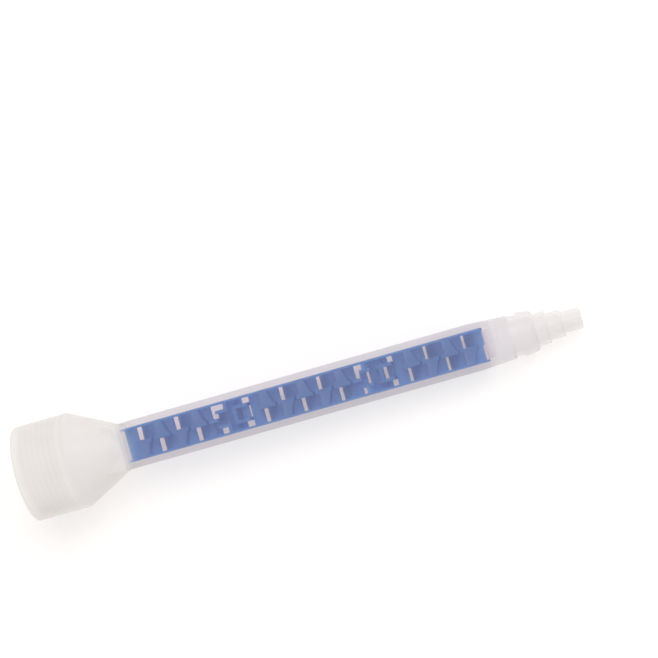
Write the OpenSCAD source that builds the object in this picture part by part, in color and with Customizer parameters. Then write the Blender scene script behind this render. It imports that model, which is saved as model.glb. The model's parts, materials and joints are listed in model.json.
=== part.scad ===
// Static mixing nozzle: a translucent housing with a threaded inlet bell, a square mixing tube and a
// stepped outlet, and a one-piece square mixing element inside it. It lies on one flat side of its tube.
// Millimetres. Each piece is drawn along +X from the mouth of the bell to the tip, then laid down.

/* [Inlet bell] */
// Outside diameter of the bell
bell_d = 24.6; // [23.6:0.1:30]
// Length of the bell's straight wall, mouth to shoulder
bell_len = 14; // [10:0.1:24]
// Diameter of the bell's bore, at the root of its screw thread
bell_bore_d = 21.9; // [18:0.1:22.4]
// Depth of the bore, from the mouth to its conical floor
bell_bore_len = 12.4; // [8:0.1:13]
// Length of the cone between the bell and the tube
cone_len = 12.3; // [9:0.1:20]
// Radius on the two edges of the mouth
mouth_r = 0.5; // [0.2:0.05:0.6]
// Radius on the shoulder between the bell and the cone
shoulder_r = 1.2; // [0.4:0.1:3]

/* [Mixing tube] */
// Width of the square tube, over its flats
tube_w = 12; // [11:0.1:14]
// Wall thickness of the tube
tube_wall = 1.65; // [1:0.05:2.2]
// Radius on the four long corners of the tube
tube_corner_r = 0.9; // [0.3:0.1:1.6]
// Length of the drawn-in end of the tube, at the faces it lies on
taper_len = 2.6; // [1:0.1:5]
// Length of the drawn-in end of the tube, at its two sides
side_taper_len = 9; // [2:0.1:12]
// Width of the tube's end face, after the drawn-in end
tube_end_w = 10.9; // [10.4:0.1:11]
// Thickness of solid end between the mixing channel and the end face
end_block_len = 6.7; // [4:0.1:10]

/* [Outlet] */
// Diameter of the neck behind the snap collar
neck_d = 10.3; // [9:0.1:10.6]
// Length of the neck
neck_len = 2.3; // [1:0.1:5]
// Largest diameter of the snap collar, at its back edge
collar_d = 11.4; // [10.8:0.1:11.4]
// Diameter of the snap collar where its nose begins
collar_front_d = 10.5; // [9:0.1:10.6]
// Length of the snap collar
collar_len = 4.1; // [3:0.1:6]
// Radius on the snap collar's nose
collar_nose_r = 1.1; // [0.4:0.1:1.2]
// Diameter of the ring in front of the collar
ring_d = 8.3; // [7.6:0.1:8.4]
// Length of the ring
ring_len = 3; // [2:0.1:6]
// Diameter of the step between the ring and the tip
step_d = 6.9; // [6.4:0.1:7.4]
// Length of the step
step_len = 3.8; // [2:0.1:8]
// Diameter of the tip
tip_d = 5.5; // [5:0.1:6]
// Length of the tip
tip_len = 4.9; // [3:0.1:9]
// Radius on the front edges of the ring and the step
step_edge_r = 0.25; // [0.1:0.05:0.4]
// Radius on the front edge of the tip
tip_edge_r = 0.7; // [0.3:0.05:0.8]
// Diameter of the round port that leads out of the mixing channel
port_d = 7.2; // [6:0.1:7.4]
// Diameter of the bore inside the ring
ring_bore_d = 5.6; // [5:0.1:6]
// Diameter of the bore inside the step
step_bore_d = 4.4; // [4:0.1:4.8]
// Diameter of the outlet, which is the bore inside the tip
outlet_d = 3.2; // [2:0.1:3.6]
// Length of each cone that joins two bores
bore_cone_len = 1.5; // [0.5:0.1:2]

/* [Mixing element] */
// Order of the cells: T and B are the two hands of the mixing cell, I and J the two of the flow inverter
cell_row = "TBTBIBTBTBJBTBT"; // [TBTBIBTBT:Short, TBTBIBTBTBJBTBT:Standard, TBTBIBTBTBJBTBTBIBTBT:Long]
// Gap between the mixing element and the channel, on each side and at its seat
element_gap = 0.05; // [0.02:0.01:0.15]
// Thickness of the two side rails
rail_t = 0.5; // [0.4:0.05:0.8]
// Thickness of the dividing panels and of the inverter's walls
panel_t = 0.8; // [0.5:0.05:1]
// Length of the rails ahead of the first panel
lead_len = 0.3; // [0.1:0.1:2]
// Length of the first panel
first_panel_len = 3.2; // [2:0.1:4]
// Length over which the first panel tapers to its leading edge
leading_taper_len = 1.4; // [0.5:0.1:1.8]
// Thickness of the first panel at its leading edge
leading_edge_t = 0.2; // [0.1:0.05:0.4]
// Length of one mixing element, from panel end to panel end
pitch = 4.92; // [4.4:0.02:7]
// Open gap between a panel and the wedges that follow it
window = 0.4; // [0.3:0.05:0.9]
// Length of a wedge's ramp, from the tube wall to the middle of the tube
ramp_len = 1.5; // [1:0.1:2]
// Length of a wedge along a side rail, from the panel before it
wedge_rail_len = 2.1; // [2:0.1:2.4]
// Length of a wedge along the middle of the tube, from the panel before it
wedge_mid_len = 3.5; // [2.8:0.1:4]
// Thickness of the lip at the upstream edge of a wedge
lip_t = 0.3; // [0.1:0.05:0.5]
// Length of a flow inverter with the panel behind it
inverter_len = 13.12; // [12:0.02:16]
// Length of the half panel that closes an inverter's entry at one side
half_panel_len = 1.3; // [0.9:0.1:1.5]
// Length of an inverter's entry, up to the walls of its centre passage
entry_len = 1.6; // [1.6:0.1:2]
// Length of the divider in an inverter's centre passage, behind the half panel
divider_len = 1.7; // [1.4:0.1:2]
// Distance from the panel before an inverter to its upper side ramps
upper_ramp_x = 4; // [3:0.1:4.2]
// Distance from the panel before an inverter to its lower side ramps
lower_ramp_x = 2.4; // [2.2:0.1:3.4]
// Open length of an inverter's centre passage before the core
entry_slit = 0.7; // [0.4:0.1:1]
// Length of an inverter's core
core_len = 3.7; // [3:0.1:3.8]
// How far the upper roof of an inverter's core ends before the lower one
roof_setback = 0.6; // [0.3:0.1:0.7]
// Open length of an inverter's centre passage behind the core
exit_slit = 0.6; // [0.4:0.1:1]
// Length of the covers at the sides, behind an inverter's core
side_cover_len = 1.1; // [1:0.1:2]
// Length of the centre walls behind an inverter's core
exit_len = 2.5; // [2.2:0.1:3]
// Half width of a flow inverter's centre passage
centre_half = 1.5; // [1.2:0.1:1.8]
// Half height of the middle layer inside a flow inverter
layer_half = 1.2; // [0.9:0.1:1.6]
// Length of the rails after the last panel, which runs on to their end at one side
tail_len = 0.5; // [0.2:0.1:1.2]
// Distance from the end of the cone to the start of the rails
inlet_gap = 0.75; // [0:0.05:3]

/* [Hidden] */
$fn = 96;

// How far shapes that are joined or cut run into each other
overlap = 0.2;

// Size of the mixing element
channel_w = tube_w - 2 * tube_wall;
element_half = channel_w / 2 - element_gap;
rail_in = element_half - rail_t;
rail_mid = element_half - rail_t / 2;
function inverts(i) = cell_row[i] == "I" || cell_row[i] == "J";
function cell_len(i) = inverts(i) ? inverter_len : pitch;
function cell_x(i) = i == 0 ? lead_len + first_panel_len : cell_x(i - 1) + cell_len(i - 1);
element_len = cell_x(len(cell_row)) + tail_len;

// Stations along the axis, from the mouth. The tube is as long as the element and the solid end need.
bell_r = bell_d / 2;
cone_end_x = bell_len + cone_len;
element_x = cone_end_x + inlet_gap;
channel_end_x = element_x + element_len + element_gap;
tube_end_x = channel_end_x + end_block_len;
taper_x = tube_end_x - taper_len;
side_taper_x = tube_end_x - side_taper_len;
collar_x = tube_end_x + neck_len;
collar_end_x = collar_x + collar_len;

// Outlet steps, from the collar to the tip: diameter, length, edge radius and bore
steps = [[ring_d, ring_len, step_edge_r, ring_bore_d],
         [step_d, step_len, step_edge_r, step_bore_d],
         [tip_d, tip_len, tip_edge_r, outlet_d]];
last_step = len(steps) - 1;
function step_x(i) = i == 0 ? collar_end_x : step_x(i - 1) + steps[i - 1][1];
total_len = step_x(len(steps));

// Stations inside a flow inverter, from the panel before it
divider_end_x = half_panel_len + divider_len;
core_x = divider_end_x + entry_slit;
core_end_x = core_x + core_len;
upper_end_x = core_end_x - roof_setback;
outlet_plate_x = core_end_x + exit_slit;
side_cover_end_x = core_end_x + side_cover_len;
inverter_end_x = core_end_x + exit_len;
last_panel_x = inverter_end_x + window / 2;
centre_wall_y = centre_half + panel_t;
layer_top = layer_half + panel_t;
roof_z = layer_half + panel_t / 2;

// Rest: the nozzle lies on the shoulder's round edge and on the lower edge of the tube at taper_x.
rest_run = taper_x - (bell_len - shoulder_r);
rest_drop = bell_r - shoulder_r - tube_w / 2;
rest_angle = atan2(rest_drop, rest_run) + asin(shoulder_r / norm([rest_run, rest_drop]));
rest_height = taper_x * sin(rest_angle) + tube_w / 2 * cos(rest_angle);
tip_face_r = tip_d / 2 - tip_edge_r;
low_x = -(bell_r - mouth_r) * sin(rest_angle);
high_x = total_len * cos(rest_angle) + tip_face_r * sin(rest_angle);

// Lays a piece drawn along +X down on the floor, with the middle of its box over the origin.
module lie() {
    translate([-(low_x + high_x) / 2, 0, rest_height])
        rotate([0, rest_angle, 0]) children();
}

// Turns what is drawn along +Z to lie along +X.
module along_x(x = 0) {
    translate([x, 0, 0]) rotate([0, 90, 0]) children();
}

// Prism across the tube: an outline in X and Z, from y0 to y1.
module across_y(y0, y1, outline) {
    translate([0, y1, 0]) rotate([90, 0, 0]) linear_extrude(y1 - y0) polygon(outline);
}

// Box from one corner to the other.
module block(low, high) {
    translate(low) cube(high - low);
}

// Points of a quarter round on a turned profile, about a centre, from one angle to another.
function arc(centre, r, from, to, parts = 4) =
    [for (i = [0:parts]) let (a = from + (to - from) * i / parts) centre + r * [cos(a), sin(a)]];

// Square with round corners, from exact shapes.
module round_square(w, r) {
    square([w, w - 2 * r], center = true);
    square([w - 2 * r, w], center = true);
    for (x = [-1, 1], y = [-1, 1]) translate((w / 2 - r) * [x, y]) circle(r);
}

// Turned outside of the bell and its cone, which runs on inside the tube to close the joint.
module bell_outside() {
    cone_angle = atan2(bell_r - tube_w / 2, cone_len);
    outline = concat(
        [[0, 0]],
        arc([bell_r - mouth_r, mouth_r], mouth_r, -90, 0),
        arc([bell_r - shoulder_r, bell_len - shoulder_r * tan(cone_angle / 2)], shoulder_r, 0, cone_angle),
        [[tube_w / 2, cone_end_x], [0, cone_end_x]]
    );
    along_x() rotate_extrude() polygon(outline);
}

// Square tube with a drawn-in end. Its inlet end reaches back inside the cone.
module tube_outside() {
    start = bell_len;
    function drawn_in(x) = [[start, -tube_w / 2], [x, -tube_w / 2], [tube_end_x, -tube_end_w / 2],
                            [tube_end_x, tube_end_w / 2], [x, tube_w / 2], [start, tube_w / 2]];
    intersection() {
        along_x(start) linear_extrude(tube_end_x - start) round_square(tube_w, tube_corner_r);
        across_y(-tube_w / 2, tube_w / 2, drawn_in(taper_x));
        translate([0, 0, -tube_w / 2]) linear_extrude(tube_w) polygon(drawn_in(side_taper_x));
    }
}

// Turned outside of the outlet: neck, snap collar and three steps down to the tip.
module outlet_outside() {
    nose_x = collar_end_x - collar_nose_r;
    stairs = [for (i = [0:last_step]) let (r = steps[i][0] / 2, edge = steps[i][2], end = step_x(i + 1))
        each concat([[r, step_x(i)]], arc([r - edge, end - edge], edge, 0, 90))];
    outline = concat(
        [[0, tube_end_x - overlap], [neck_d / 2, tube_end_x - overlap], [neck_d / 2, collar_x],
         [collar_d / 2, collar_x]],
        arc([collar_front_d / 2 - collar_nose_r, nose_x], collar_nose_r, 0, 90),
        stairs,
        [[0, total_len]]
    );
    along_x() rotate_extrude() polygon(outline);
}

// Turned inside of the bell: the bore, then a conical floor down to the mixing channel.
module bell_inside() {
    bore_r = bell_bore_d / 2;
    outline = concat(
        [[0, -overlap], [bore_r + mouth_r, -overlap]],
        arc([bore_r + mouth_r, mouth_r], mouth_r, 270, 180),
        [[bore_r, bell_bore_len], [channel_w / 2, cone_end_x - tube_wall], [0, cone_end_x - tube_wall]]
    );
    along_x() rotate_extrude() polygon(outline);
}

// Square mixing channel, from inside the cone to the seat of the mixing element.
module channel() {
    start = (bell_bore_len + cone_end_x) / 2;
    half = channel_w / 2;
    block([start, -half, -half], [channel_end_x, half, half]);
}

// Turned way out: a round port, then three bores joined by short cones.
module outlet_inside() {
    bores = [for (i = [0:last_step])
        let (r = steps[i][3] / 2, short = i < last_step ? bore_cone_len / 2 : -overlap)
        each [[r, step_x(i)], [r, step_x(i + 1) - short]]];
    outline = concat(
        [[0, channel_end_x - overlap], [port_d / 2, channel_end_x - overlap],
         [port_d / 2, collar_end_x - bore_cone_len]],
        bores,
        [[0, total_len + overlap]]
    );
    along_x() rotate_extrude() polygon(outline);
}

module housing() {
    color([0.92, 0.91, 0.9, 0.5]) lie() difference() {
        union() {
            bell_outside();
            tube_outside();
            outlet_outside();
        }
        bell_inside();
        channel();
        outlet_inside();
    }
}

// Deflecting wedge in the quarter below the middle and towards +Z: a ramp from the tube wall to the middle,
// cut off behind by a slanting face.
module wedge() {
    ramp = [[window, element_half], [window, element_half - lip_t], [window + ramp_len, 0],
            [wedge_mid_len, 0], [wedge_mid_len, element_half]];
    plan = [[window, 0], [wedge_mid_len, 0], [wedge_rail_len, -rail_mid], [window, -rail_mid]];
    intersection() {
        across_y(-rail_mid, 0, ramp);
        linear_extrude(element_half) polygon(plan);
    }
}

// One mixing element: an upright panel that splits the flow, two wedges that swap its halves over, and a
// level panel that keeps them apart. It runs from the end of the panel before it to the end of its own.
module mixing_cell() {
    slant = [wedge_rail_len - overlap, wedge_mid_len - overlap];
    plan = [[slant[0], rail_mid], [slant[1], 0], [slant[0], -rail_mid],
            [pitch, -rail_mid], [pitch, rail_mid]];
    block([-panel_t / 2, -panel_t / 2, -element_half], [wedge_mid_len + overlap, panel_t / 2, element_half]);
    for (turn = [0, 180]) rotate([turn, 0, 0]) wedge();
    translate([0, 0, -panel_t / 2]) linear_extrude(panel_t) polygon(plan);
}

// Level plate of panel thickness between two stations and two side positions, at a height.
module level_plate(x0, x1, y0, y1, z = 0) {
    block([x0, y0, z - panel_t / 2], [x1, y1, z + panel_t / 2]);
}

// Side ramp of a flow inverter, from the top of the tube at a station to the roof of the core.
module side_ramp(x) {
    across_y(centre_half, rail_mid, [[x, element_half], [x + panel_t, element_half],
                                     [core_x + panel_t, layer_top], [core_x + panel_t, layer_half],
                                     [core_x, layer_half]]);
}

// Stop that closes the centre of the top layer at the end of the core's roof.
module layer_stop(x) {
    block([x - panel_t, -centre_wall_y, layer_half], [x, centre_wall_y, element_half]);
}

// Flow inverter: it leads the centre stream out to the top and bottom layers and then to the sides,
// and the side streams into the middle layer and then to the centre. Its entry plates lie level with the
// lower roof, and its exit plates with the upper one.
module inverter_cell() {
    // Entry: an upright panel, a half panel at one side, and the divider of the centre passage
    block([-panel_t / 2, -panel_t / 2, -element_half], [entry_len + overlap, panel_t / 2, element_half]);
    level_plate(-overlap, half_panel_len, -rail_mid, panel_t / 2, -roof_z);
    level_plate(half_panel_len, divider_end_x, -centre_wall_y, centre_wall_y, -roof_z);
    // Core: two roofs between the layers, with the centre stopped at the entry
    level_plate(core_x, upper_end_x, -rail_mid, rail_mid, roof_z);
    level_plate(core_x, core_end_x, -rail_mid, rail_mid, -roof_z);
    block([core_x, -centre_wall_y, -layer_half - overlap],
          [core_x + panel_t, centre_wall_y, layer_half + overlap]);
    for (side = [0, 1]) mirror([0, side, 0]) {
        // Walls of the centre passage, before and after the core
        block([entry_len, centre_half, -element_half], [core_x + panel_t, centre_wall_y, element_half]);
        block([upper_end_x - panel_t, centre_half, -element_half],
              [inverter_end_x, centre_wall_y, element_half]);
        // Side stream: ramps into the middle layer, a stop at its far end, and a cover behind it
        side_ramp(upper_ramp_x);
        mirror([0, 0, 1]) side_ramp(lower_ramp_x);
        block([core_end_x - panel_t, centre_half, -layer_half - overlap],
              [core_end_x, rail_mid, layer_half + overlap]);
        level_plate(core_end_x - overlap, side_cover_end_x, centre_half, rail_mid, roof_z);
    }
    // Stops that close the centre of the top and bottom layers at the exit
    layer_stop(upper_end_x);
    mirror([0, 0, 1]) layer_stop(core_end_x);
    level_plate(outlet_plate_x, inverter_end_x, -centre_wall_y, centre_wall_y, roof_z);
    level_plate(last_panel_x, inverter_len, -rail_mid, rail_mid);
}

// First panel, which meets the flow with a tapered edge.
module first_panel() {
    taper_end_x = lead_len + leading_taper_len;
    edge = leading_edge_t / 2;
    full = panel_t / 2;
    across_y(-rail_mid, rail_mid, [[lead_len, -edge], [taper_end_x, -full], [cell_x(0), -full],
                                   [cell_x(0), full], [taper_end_x, full], [lead_len, edge]]);
}

module mixing_element() {
    color([0.42, 0.5, 0.68]) lie() translate([element_x, 0, 0]) {
        for (side = [0, 1]) mirror([0, side, 0])
            block([0, rail_in, -element_half], [element_len, element_half, element_half]);
        first_panel();
        for (i = [0:len(cell_row) - 1]) translate([cell_x(i), 0, 0]) {
            if (cell_row[i] == "T") mixing_cell();
            if (cell_row[i] == "B") mirror([0, 1, 0]) mixing_cell();
            if (cell_row[i] == "I") inverter_cell();
            if (cell_row[i] == "J") mirror([0, 0, 1]) inverter_cell();
        }
        level_plate(element_len - tail_len - overlap, element_len, 0, rail_mid);
    }
}

housing();
mixing_element();
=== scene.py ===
# %% [markdown]
# A static mixing nozzle, dressed for a studio picture
#
# The nozzle is two mouldings: a translucent housing that screws on a cartridge, and a blue element inside
# its square tube that splits and folds the flow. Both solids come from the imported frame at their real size
# and place. This lesson gives each its finish, winds the screw thread into the bell, and then adds the
# floor, the light and the camera.

# %% Load the fixed frame
import json
import math

import bmesh
import bpy
from mathutils import Matrix, Vector


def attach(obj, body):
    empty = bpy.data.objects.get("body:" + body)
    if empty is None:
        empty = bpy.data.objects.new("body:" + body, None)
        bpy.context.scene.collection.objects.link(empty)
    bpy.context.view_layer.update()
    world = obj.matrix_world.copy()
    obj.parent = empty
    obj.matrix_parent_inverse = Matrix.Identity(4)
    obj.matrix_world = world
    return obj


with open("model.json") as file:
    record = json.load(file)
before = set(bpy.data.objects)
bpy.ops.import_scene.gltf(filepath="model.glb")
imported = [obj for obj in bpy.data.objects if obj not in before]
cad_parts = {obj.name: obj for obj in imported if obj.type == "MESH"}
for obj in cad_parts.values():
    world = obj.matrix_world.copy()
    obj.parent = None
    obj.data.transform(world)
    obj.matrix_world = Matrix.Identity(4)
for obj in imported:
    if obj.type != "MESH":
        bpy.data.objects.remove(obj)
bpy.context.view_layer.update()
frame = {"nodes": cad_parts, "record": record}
MM = 0.001
print("nodes:", sorted(frame["nodes"]))

# %% [markdown]
# Where things are
#
# The nozzle lies on the floor, so its axis dips a little towards the tip. The record's inlet mount gives a
# point on that axis, its direction and the radius of the bore. Places could be typed in as coordinates, but
# they would be wrong as soon as the nozzle lies another way. So they are counted along the axis from the
# mouth of the bell, as a moulder's drawing would give them.

# %% Axis of the nozzle, from the inlet mount
mounts = {mount["name"]: mount for mount in frame["record"]["mounts"]}
inlet = mounts["inlet_bell"]
MOUTH_ROUND = 0.5 * MM
bore_r = inlet["dims"]["r_mm"] * MM
bore_len = inlet["dims"]["length_mm"] * MM
axis = -Vector(inlet["axis"]).normalized()
mouth = Vector(inlet["pos_m"]) - axis * (bore_len / 2 + MOUTH_ROUND)
bore_end = MOUTH_ROUND + bore_len
# Straight across the nozzle, level with the floor
side = Vector((0, 1, 0))
CONE_END = 26.3 * MM
CHANNEL_END = 121.3 * MM
NOZZLE_END = 146.1 * MM
print("mouth at", [round(v / MM, 2) for v in mouth], "mm, bore radius", round(bore_r / MM, 2), "mm")

# %% [markdown]
# Colour and shader helpers
#
# Colours are written as the hex values a paint program shows. Shaders want linear light, so one function
# converts them. A second small function adds a shader node with its settings and links, so that a finish
# reads as a list of what it is made of.

# %% Helpers for finishes
def linear(hex_value):
    """Turns a hex colour into linear red, green, blue and alpha, by the sRGB formula."""
    channels = [int(hex_value[i:i + 2], 16) / 255 for i in (0, 2, 4)]
    return [c / 12.92 if c <= 0.04045 else ((c + 0.055) / 1.055) ** 2.4 for c in channels] + [1.0]


def add_node(tree, kind, settings=None, inputs=None):
    """Adds a node, sets its properties, and fills its sockets with values or links from other sockets."""
    node = tree.nodes.new(kind)
    for name, value in (settings or {}).items():
        setattr(node, name, value)
    for name, value in (inputs or {}).items():
        if isinstance(value, bpy.types.NodeSocket):
            tree.links.new(value, node.inputs[name])
        else:
            node.inputs[name].default_value = value
    return node


def new_material(name):
    """Starts an empty node material and returns it with its tree and its output."""
    material = bpy.data.materials.new(name)
    material.use_nodes = True
    material.node_tree.nodes.clear()
    output = add_node(material.node_tree, "ShaderNodeOutputMaterial")
    return material, material.node_tree, output


def dress(obj, material):
    """Gives an object one material."""
    obj.data.materials.clear()
    obj.data.materials.append(material)


print("helpers ready, mid grey is", round(linear("808080")[0], 3), "in linear light")

# %% [markdown]
# Natural polypropylene
#
# Uncoloured polypropylene is clear where it is thin and milky where light has far to go. The tube is
# moulded on polished steel so that the mix can be watched, and only a faint haze lies over the blue
# element. The bell and the outlet are hazier, because their inside is cut up by the thread and the bores.
# One way would be glass with scattering inside, but it is slow and comes out dark. So a clear shader and a
# milky one are mixed by a haze that follows the place along the nozzle. The lists give that haze, the tint
# of the clear shader and the colour of the milky one. That colour is palest in a painted pale line at the
# end of the bore, where the inside corner shows through and stands in for the shoulder's highlight. Painted
# shade makes it a little darker over the cone, which faces the lamp, and it is darker at the mouth and the
# tip.

# %% Haze, tint and skin along the housing
BELL_HAZE = 0.66
EDGE_HAZE = 0.4
TUBE_HAZE = 0.09
OUTLET_HAZE = 0.35
TUBE_TINT = "F8F5F8"
BELL_SKIN = "F4F2F0"
# Lengths over which one value runs into the next
EDGE_RUN = 0.5 * MM
BLEND_RUN = 3 * MM
# Width over which the painted pale line at the end of the bore fades
PAINTED_LINE_RUN = 0.8 * MM
HAZE_STOPS = [(CONE_END, BELL_HAZE), (CONE_END + EDGE_RUN, EDGE_HAZE), (CONE_END + BLEND_RUN, TUBE_HAZE),
              (CHANNEL_END, TUBE_HAZE), (CHANNEL_END + BLEND_RUN, OUTLET_HAZE)]
TINT_STOPS = [(CONE_END, "FFFEFD"), (CONE_END + BLEND_RUN, TUBE_TINT), (CHANNEL_END, TUBE_TINT),
              (CHANNEL_END + BLEND_RUN, "FEFCFD"), (NOZZLE_END, "FEFDFD")]
# Colour of the milky shader, with a painted pale line at the bore's end and painted shade over the cone
SKIN_AND_PAINTED_LIGHT_STOPS = [(0, "F0EEEB"), (bore_end / 2, BELL_SKIN), (bore_end - PAINTED_LINE_RUN, BELL_SKIN),
              (bore_end, "F8F7F5"), (bore_end + PAINTED_LINE_RUN, "F3F1F1"), (CONE_END, "F4F1EF"),
              (CHANNEL_END, "F5F4F4"), (NOZZLE_END, "ECEBEA")]


def grey(part):
    """Writes a share as a grey, because a ramp holds colours."""
    return part, part, part, 1


def lay_stops(ramp, stops):
    """Lays colours on a ramp at their distances from the mouth."""
    points = ramp.color_ramp.elements
    while len(points) < len(stops):
        points.new(1.0)
    for point, (distance, colour) in zip(points, stops):
        point.position = distance / NOZZLE_END
        point.color = colour


print("haze:", BELL_HAZE, "in the bell,", TUBE_HAZE, "in the tube,", OUTLET_HAZE, "in the outlet")

# %% [markdown]
# Thread seen through the wall
#
# From outside, the thread shows as faint pale rings, because the wall is thicker over each turn. The ridge
# that is modelled further on shows in the mouth, but from outside the milky wall hides it. So the rings are
# painted light: a wave that winds with the thread raises the skin's brightness over each turn and lowers it
# between, by less than two parts in a hundred, and by a third of that at the mouth.

# %% Painted brightness over the thread
PITCH = 1.46 * MM
RIDGE_START = 1.78 * MM
RIDGE_TURNS = 6
# How much the painted pale rings brighten the skin over each turn
PAINTED_RING_SHARE = 0.016
FIRST_PAINTED_RING_SHARE = PAINTED_RING_SHARE / 3
ridge_end = RIDGE_START + RIDGE_TURNS * PITCH
PAINTED_RING_STOPS = [(RIDGE_START - PITCH, 0), (RIDGE_START, FIRST_PAINTED_RING_SHARE),
              (ridge_end, PAINTED_RING_SHARE), (ridge_end + PITCH, 0)]


def painted_thread_rings(tree, offset, along):
    """Adds a painted brightness near 1 that rises over each turn of the thread."""
    across = add_node(tree, "ShaderNodeVectorMath", {"operation": "DOT_PRODUCT"},
                      {0: offset.outputs["Vector"], 1: side})
    rise = add_node(tree, "ShaderNodeVectorMath", {"operation": "DOT_PRODUCT"},
                    {0: offset.outputs["Vector"], 1: axis.cross(side)})
    angle = add_node(tree, "ShaderNodeMath", {"operation": "ARCTAN2"},
                     {0: rise.outputs["Value"], 1: across.outputs["Value"]})
    turned = add_node(tree, "ShaderNodeMath", {"operation": "MULTIPLY_ADD"},
                      {0: along.outputs["Value"], 1: math.tau * NOZZLE_END / PITCH,
                       2: -math.tau * RIDGE_START / PITCH})
    phase = add_node(tree, "ShaderNodeMath", {"operation": "SUBTRACT"},
                     {0: turned.outputs[0], 1: angle.outputs[0]})
    wave = add_node(tree, "ShaderNodeMath", {"operation": "COSINE"}, {0: phase.outputs[0]})
    share = add_node(tree, "ShaderNodeValToRGB", None, {"Fac": along.outputs["Value"]})
    lay_stops(share, [(distance, grey(part)) for distance, part in PAINTED_RING_STOPS])
    return add_node(tree, "ShaderNodeMath", {"operation": "MULTIPLY_ADD"},
                    {0: wave.outputs[0], 1: share.outputs["Color"], 2: 1.0})


print("rings:", RIDGE_TURNS, "turns, up to", round(ridge_end / MM, 2), "mm from the mouth")

# %% [markdown]
# The housing's finish
#
# Now the parts come together. The milky shader is about half satin skin and half glow from the far side,
# which keeps the bell pale on its shaded side. The skin has soft clouds of gloss and a fine grain from the
# mould. A lightly absorbing body greys what is seen along the length of a wall, such as the tube's two
# edges.

# %% Finish of the housing
GLOW_SHARE = 0.45
BODY_GREY = "606060"
ABSORBED_PER_METRE = 18.0
CLOUD_SIZE = 9 * MM
CLOUD_DETAIL = 3.0
SATIN_LOW = 0.25
SATIN_HIGH = 0.4
# The mould's real grain is too fine to show at this size, so it is drawn coarser
GRAIN_SIZE = 0.6 * MM
GRAIN_DETAIL = 2.0
GRAIN_DEPTH = 0.05 * MM
GRAIN_STRENGTH = 0.1


def natural_polypropylene():
    """Moulded, uncoloured polypropylene: the eye sees through it, with a milky bloom and a satin skin."""
    material, tree, output = new_material("moulded natural polypropylene")
    place = add_node(tree, "ShaderNodeTexCoord").outputs["Object"]
    offset = add_node(tree, "ShaderNodeVectorMath", {"operation": "SUBTRACT"}, {0: place, 1: mouth})
    along = add_node(tree, "ShaderNodeVectorMath", {"operation": "DOT_PRODUCT"},
                     {0: offset.outputs["Vector"], 1: axis / NOZZLE_END})
    haze = add_node(tree, "ShaderNodeValToRGB", None, {"Fac": along.outputs["Value"]})
    lay_stops(haze, [(distance, grey(part)) for distance, part in HAZE_STOPS])
    tint = add_node(tree, "ShaderNodeValToRGB", None, {"Fac": along.outputs["Value"]})
    lay_stops(tint, [(distance, linear(colour)) for distance, colour in TINT_STOPS])
    # Milky colour along the nozzle, holding the painted pale line and the painted shade
    skin_with_painted_light = add_node(tree, "ShaderNodeValToRGB", None, {"Fac": along.outputs["Value"]})
    lay_stops(skin_with_painted_light, [(distance, linear(colour)) for distance, colour in SKIN_AND_PAINTED_LIGHT_STOPS])
    # Painted pale rings over the thread, laid on the milky colour
    ringed_with_painted_light = add_node(tree, "ShaderNodeVectorMath", {"operation": "SCALE"},
                      {0: skin_with_painted_light.outputs["Color"], "Scale": painted_thread_rings(tree, offset, along).outputs[0]})
    cloud = add_node(tree, "ShaderNodeTexNoise", None,
                     {"Vector": place, "Scale": 1 / CLOUD_SIZE, "Detail": CLOUD_DETAIL})
    rough = add_node(tree, "ShaderNodeMapRange", None,
                     {"Value": cloud.outputs["Fac"], "To Min": SATIN_LOW, "To Max": SATIN_HIGH})
    grain = add_node(tree, "ShaderNodeTexNoise", None,
                     {"Vector": place, "Scale": 1 / GRAIN_SIZE, "Detail": GRAIN_DETAIL})
    bump = add_node(tree, "ShaderNodeBump", None,
                    {"Height": grain.outputs["Fac"], "Strength": GRAIN_STRENGTH, "Distance": GRAIN_DEPTH})
    skin = add_node(tree, "ShaderNodeBsdfPrincipled", None, {
        "Base Color": ringed_with_painted_light.outputs["Vector"],
        "Roughness": rough.outputs["Result"],
        "Normal": bump.outputs["Normal"],
    })
    glow = add_node(tree, "ShaderNodeBsdfTranslucent", None, {"Color": ringed_with_painted_light.outputs["Vector"]})
    milky = add_node(tree, "ShaderNodeMixShader", None,
                     {0: GLOW_SHARE, 1: skin.outputs[0], 2: glow.outputs[0]})
    clear = add_node(tree, "ShaderNodeBsdfTransparent", None, {"Color": tint.outputs["Color"]})
    both = add_node(tree, "ShaderNodeMixShader", None,
                    {0: haze.outputs["Color"], 1: clear.outputs[0], 2: milky.outputs[0]})
    body = add_node(tree, "ShaderNodeVolumeAbsorption", None,
                    {"Color": linear(BODY_GREY), "Density": ABSORBED_PER_METRE})
    tree.links.new(both.outputs[0], output.inputs["Surface"])
    tree.links.new(body.outputs["Volume"], output.inputs["Volume"])
    return material


housing_finish = natural_polypropylene()
dress(frame["nodes"]["housing"], housing_finish)
print("finish:", housing_finish.name)

# %% [markdown]
# Blue polypropylene
#
# The mixing element is the same plastic with a blue pigment. Its panels are under a millimetre thick and
# glow with the light of the floor below, and its solid wedges are greyer. That glow and that shade are
# painted
# into the colour: ambient occlusion that looks into the plastic finds how much of it lies behind the surface
# and picks a lighter blue where it is thin and a greyer one where it is solid. A half clear skin over a body
# that absorbs red and green does the rest. A painted map would give the same, but this follows the shape by
# itself.

# %% Finish of the mixing element
# Painted glow of the floor's light on thin panels, and painted shade on solid wedges
THIN_PAINTED_GLOW_BLUE = "8ACEFE"
SOLID_PAINTED_SHADE_BLUE = "7AAEDC"
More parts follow.
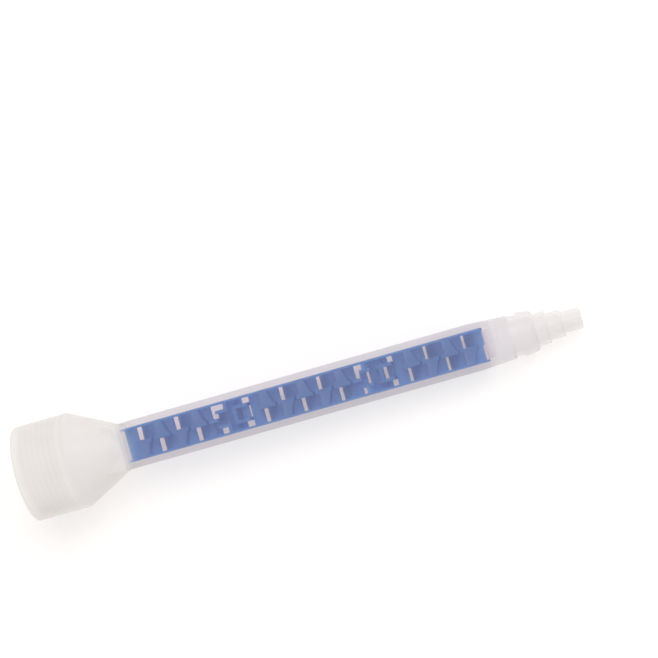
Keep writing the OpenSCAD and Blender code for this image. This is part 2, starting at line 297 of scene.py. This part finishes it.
# How far the rays look into the plastic, and the share that stays inside where it counts as solid
SOLID_DEPTH = 2.5 * MM
SOLID_ROOM = 0.3
PROBE_RAYS = 8
SHADE_SIZE = 4 * MM
BLUE_SATIN_LOW = 0.35
BLUE_SATIN_HIGH = 0.45
SKIN_COVER = 0.55
BLUE_GLOW_SHARE = 0.45
BODY_BLUE = "60CEF8"
BLUE_ABSORBED_PER_METRE = 400.0


def blue_polypropylene():
    """Moulded blue polypropylene: a satin blue that lets some light through where it is thin, painted
    lighter there and greyer where solid.
    """
    material, tree, output = new_material("moulded blue polypropylene")
    place = add_node(tree, "ShaderNodeTexCoord").outputs["Object"]
    cloud = add_node(tree, "ShaderNodeTexNoise", None,
                     {"Vector": place, "Scale": 1 / SHADE_SIZE, "Detail": CLOUD_DETAIL})
    rough = add_node(tree, "ShaderNodeMapRange", None,
                     {"Value": cloud.outputs["Fac"], "To Min": BLUE_SATIN_LOW, "To Max": BLUE_SATIN_HIGH})
    room = add_node(tree, "ShaderNodeAmbientOcclusion",
                    {"inside": True, "only_local": True, "samples": PROBE_RAYS}, {"Distance": SOLID_DEPTH})
    thick = add_node(tree, "ShaderNodeMapRange", None,
                     {"Value": room.outputs["AO"], "From Max": SOLID_ROOM})
    # Lighter blue with painted glow where the plastic is thin, greyer blue with painted shade where it is
    # solid
    tint = add_node(tree, "ShaderNodeMix", {"data_type": "RGBA"},
                    {0: thick.outputs["Result"], 6: linear(THIN_PAINTED_GLOW_BLUE), 7: linear(SOLID_PAINTED_SHADE_BLUE)})
    skin = add_node(tree, "ShaderNodeBsdfPrincipled", None, {
        "Base Color": tint.outputs[2],
        "Roughness": rough.outputs["Result"],
        "Alpha": SKIN_COVER,
    })
    glow = add_node(tree, "ShaderNodeBsdfTranslucent", None, {"Color": tint.outputs[2]})
    both = add_node(tree, "ShaderNodeMixShader", None,
                    {0: BLUE_GLOW_SHARE, 1: skin.outputs[0], 2: glow.outputs[0]})
    body = add_node(tree, "ShaderNodeVolumeAbsorption", None,
                    {"Color": linear(BODY_BLUE), "Density": BLUE_ABSORBED_PER_METRE})
    tree.links.new(both.outputs[0], output.inputs["Surface"])
    tree.links.new(body.outputs["Volume"], output.inputs["Volume"])
    return material


element_finish = blue_polypropylene()
dress(frame["nodes"]["mixing_element"], element_finish)
print("finish:", element_finish.name)

# %% [markdown]
# Screw thread in the bell
#
# The bell screws on the nose of a cartridge, so a ridge winds round the inside of its wall. A moulder gets
# it from a core that unscrews. A Screw modifier could wind it too, but it can't thin out the ends. So one
# small outline is spun round the axis and pushed along by the pitch at each turn, and a short run at each
# end fades into the wall, as a cutter leaves it.

# %% Winding a loop of edges
STEPS_PER_TURN = 72
FADE_STEPS = 12
SUNK = 0.05 * MM


def spin_on(mesh, edges, steps, turning):
    """Winds a loop of edges along the helix, one way or the other, and returns what the last step made."""
    wound = bmesh.ops.spin(mesh, geom=edges, cent=mouth, axis=axis, steps=steps,
                           angle=turning * steps * math.tau / STEPS_PER_TURN,
                           dvec=axis * turning * PITCH / STEPS_PER_TURN)
    return wound["geom_last"]


def fade_out(mesh, edges, turning):
    """Winds on by short steps, each one a little nearer the wall, and closes the end."""
    for step in range(FADE_STEPS):
        last = spin_on(mesh, edges, 1, turning)
        edges = [part for part in last if isinstance(part, bmesh.types.BMEdge)]
        for vertex in [part for part in last if isinstance(part, bmesh.types.BMVert)]:
            offset = vertex.co - mouth
            radial = offset - axis * offset.dot(axis)
            deep = bore_r + SUNK - radial.length
            vertex.co += radial.normalized() * deep / (FADE_STEPS - step)
    bmesh.ops.edgeloop_fill(mesh, edges=edges)


print("winding:", STEPS_PER_TURN, "steps a turn, ends fading over", FADE_STEPS)

# %% [markdown]
# Ridge of the thread
#
# The ridge is a low trapezoid, narrower at its crest so that it runs easily on the cartridge. It could be
# joined to the housing by a Boolean modifier, but the solids from the frame stay as they are. So it is a
# piece of its own, with its root sunk a little into the wall so that no gap shows.

# %% Thread ridge
RIDGE_HEIGHT = 0.75 * MM
RIDGE_ROOT = 1.1 * MM
RIDGE_CREST = 0.4 * MM
MERGE_DISTANCE = 0.001 * MM

ridge = bmesh.new()
outline = [(-RIDGE_ROOT / 2, bore_r + SUNK), (-RIDGE_CREST / 2, bore_r - RIDGE_HEIGHT),
           (RIDGE_CREST / 2, bore_r - RIDGE_HEIGHT), (RIDGE_ROOT / 2, bore_r + SUNK)]
corners = [ridge.verts.new(mouth + axis * (RIDGE_START + shift) + side * r) for shift, r in outline]
first = [ridge.edges.new((corners[i], corners[(i + 1) % len(corners)])) for i in range(len(corners))]
last = spin_on(ridge, first, RIDGE_TURNS * STEPS_PER_TURN, 1)
fade_out(ridge, [part for part in last if isinstance(part, bmesh.types.BMEdge)], 1)
fade_out(ridge, first, -1)
bmesh.ops.remove_doubles(ridge, verts=ridge.verts, dist=MERGE_DISTANCE)
bmesh.ops.recalc_face_normals(ridge, faces=ridge.faces)
ridge_data = bpy.data.meshes.new("thread")
ridge.to_mesh(ridge_data)
ridge.free()
thread = bpy.data.objects.new("thread", ridge_data)
bpy.context.collection.objects.link(thread)
dress(thread, housing_finish)
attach(thread, "root")
print("thread:", len(ridge_data.polygons), "faces")

# %% [markdown]
# Floor
#
# The nozzle lies on white paper that fills the picture. A product picture is lit until the paper is white
# and only a pale shadow is left, but so much light would bleach the nozzle here. So a share of the paper is
# plain white wherever it is seen, straight, mirrored or through the plastic, and the rest is paper that
# takes the shadow.

# %% White paper
PAPER_SIZE = 6.0
PAPER_COLOUR = "FFF9F5"
WHITE_SHARE = 0.55


def paper():
    """Matt white paper that comes out white in the picture and keeps a pale shadow."""
    material, tree, output = new_material("white paper")
    matt = add_node(tree, "ShaderNodeBsdfDiffuse", None, {"Color": linear(PAPER_COLOUR)})
    white = add_node(tree, "ShaderNodeEmission", None, {"Color": linear("FFFFFF")})
    ray = add_node(tree, "ShaderNodeLightPath")
    faced = add_node(tree, "ShaderNodeMath", {"operation": "MAXIMUM"},
                     {0: ray.outputs["Is Camera Ray"], 1: ray.outputs["Is Glossy Ray"]})
    seen = add_node(tree, "ShaderNodeMath", {"operation": "MAXIMUM"},
                    {0: faced.outputs[0], 1: ray.outputs["Is Transmission Ray"]})
    share = add_node(tree, "ShaderNodeMath", {"operation": "MULTIPLY"},
                     {0: seen.outputs[0], 1: WHITE_SHARE})
    both = add_node(tree, "ShaderNodeMixShader", None,
                    {0: share.outputs[0], 1: matt.outputs[0], 2: white.outputs[0]})
    tree.links.new(both.outputs[0], output.inputs["Surface"])
    return material


sheet = bmesh.new()
bmesh.ops.create_grid(sheet, x_segments=1, y_segments=1, size=PAPER_SIZE / 2)
floor_data = bpy.data.meshes.new("floor")
sheet.to_mesh(floor_data)
sheet.free()
floor = bpy.data.objects.new("floor", floor_data)
bpy.context.collection.objects.link(floor)
dress(floor, paper())
print("floor:", PAPER_SIZE, "m wide")

# %% [markdown]
# Light
#
# The picture has almost no hard shade. One bare lamp would be simpler, but its shadow would be dark and
# sharp. So a light tent and one large soft lamp share most of the light, and the lamp, high on the far side
# of the tube, leaves a pale shadow on the near side. A second lamp, low on the near side, lifts the lower
# half of the bell.

# %% Sky and lamps
SKY_LEVEL = 0.6
KEY_PLACE = (0.28, 0.52, 0.85)
KEY_SIZE = 0.8
KEY_POWER = 8.4
FILL_PLACE = (-0.25, -0.8, 0.35)
FILL_SIZE = 0.9
FILL_POWER = 3.6

world = bpy.data.worlds.new("light tent")
bpy.context.scene.world = world
world.use_nodes = True
world.node_tree.nodes.clear()
sky_output = add_node(world.node_tree, "ShaderNodeOutputWorld")
sky = add_node(world.node_tree, "ShaderNodeBackground", None,
               {"Color": linear("FFFFFF"), "Strength": SKY_LEVEL})
world.node_tree.links.new(sky.outputs["Background"], sky_output.inputs["Surface"])


def soft_lamp(name, place, size, power):
    """Adds a square area lamp that faces the middle of the floor."""
    lamp = bpy.data.lights.new(name, "AREA")
    lamp.shape = "SQUARE"
    lamp.size = size
    lamp.energy = power
    holder = bpy.data.objects.new(name, lamp)
    holder.location = place
    holder.rotation_euler = (-Vector(place)).to_track_quat("-Z", "Y").to_euler()
    bpy.context.collection.objects.link(holder)
    return holder


key = soft_lamp("key lamp", KEY_PLACE, KEY_SIZE, KEY_POWER)
fill = soft_lamp("fill lamp", FILL_PLACE, FILL_SIZE, FILL_POWER)
print(key.name, KEY_POWER, "W,", fill.name, FILL_POWER, "W")

# %% [markdown]
# Camera
#
# The camera looks down from high above a point a little beyond the tip, with a long lens. It could be placed
# by eye, but a long, thin thing shows each degree of error. So its place was solved from edges that can be
# measured in a picture, such as the mouth, the shoulder, the tube's end and the tip.

# %% Camera above the nozzle
PICTURE_PIXELS = 658
FOCAL_PIXELS = 2424.6
CAMERA_DISTANCE = 0.61625
CAMERA_BEARING = math.radians(-10.815)
CAMERA_ELEVATION = math.radians(79.441)
CAMERA_ROLL = math.radians(-95.103)
CAMERA_TARGET = Vector((10.424, 14.713, 0)) * MM
SENSOR = 36.0
NEAREST_SEEN = 0.01

back = Vector((math.cos(CAMERA_ELEVATION) * math.cos(CAMERA_BEARING),
               math.cos(CAMERA_ELEVATION) * math.sin(CAMERA_BEARING),
               math.sin(CAMERA_ELEVATION)))
level = Vector((0, 0, 1)).cross(back).normalized()
turn = Matrix((level, back.cross(level), back)).transposed() @ Matrix.Rotation(CAMERA_ROLL, 3, "Z")
camera_data = bpy.data.cameras.new("camera")
camera_data.sensor_width = SENSOR
camera_data.lens = FOCAL_PIXELS * SENSOR / PICTURE_PIXELS
camera_data.clip_start = NEAREST_SEEN
camera = bpy.data.objects.new("camera", camera_data)
camera.matrix_world = Matrix.Translation(CAMERA_TARGET + back * CAMERA_DISTANCE) @ turn.to_4x4()
bpy.context.collection.objects.link(camera)
bpy.context.scene.camera = camera
bpy.context.scene.view_settings.view_transform = "Standard"
print("lens:", round(camera_data.lens, 1), "mm")
